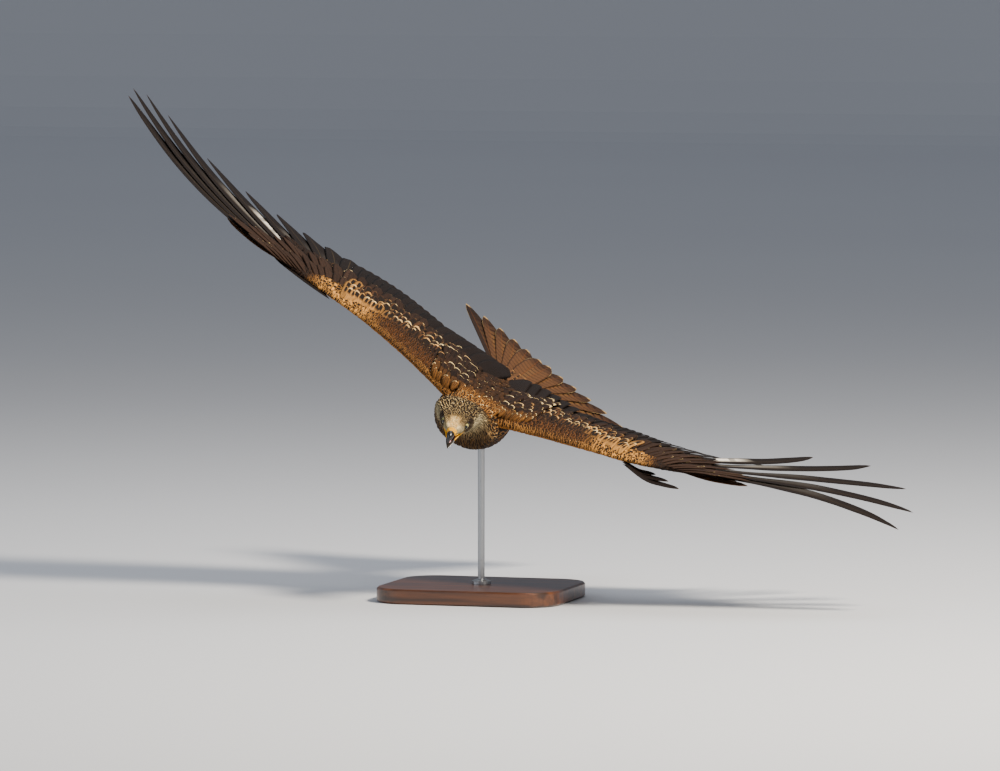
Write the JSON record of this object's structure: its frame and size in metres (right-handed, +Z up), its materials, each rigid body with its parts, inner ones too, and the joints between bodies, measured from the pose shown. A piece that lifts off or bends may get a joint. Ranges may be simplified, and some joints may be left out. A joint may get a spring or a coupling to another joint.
{
  "type": "red kite bird display model",
  "caption": "Life-size red kite in a banked glide, wings and tail spread, bill open, held over a flat base by one upright rod.",
  "frame": {"origin": "middle of the underside of the stand's base, on the surface that it stands on", "axes": "+Z up, the bird heads towards -Y, its lowered left wing reaches towards +X and its raised right wing towards -X"},
  "size_m": [1.3891, 0.7028, 0.8883],
  "materials": {
    "stand_base": "satin varnished dark wood",
    "stand_rod": "brushed",
    "body_plumage": "soft feathers, dark brown with rufous and pale edges",
    "neck_plumage": "soft feathers, rufous with dark streaks",
    "head_plumage": "soft narrow feathers, whitish with dark streaks",
    "eye": "wet, glossy",
    "bare_skin": "waxy yellow skin",
    "horn": "dark polished horn",
    "tongue": "moist",
    "wing_feathers": "smooth feathers, dark brown to tawny",
    "tail_feathers": "smooth feathers, rufous with dark bars",
    "leg_plumage": "soft rufous feathers"
  },
  "bodies": {
    "root": {"stand_base": "stand_base", "stand_rod": "stand_rod", "torso": "body_plumage", "neck": "neck_plumage", "head": "head_plumage", "eye_left": "eye", "eye_right": "eye", "cere": "bare_skin", "bill_upper": "horn", "bill_lower": "horn", "tongue": "tongue", "wing_left": "wing_feathers", "wing_right": "wing_feathers", "tail": "tail_feathers", "thigh_left": "leg_plumage", "thigh_right": "leg_plumage", "foot_left": "bare_skin", "foot_right": "bare_skin"}
  },
  "joints": []
}
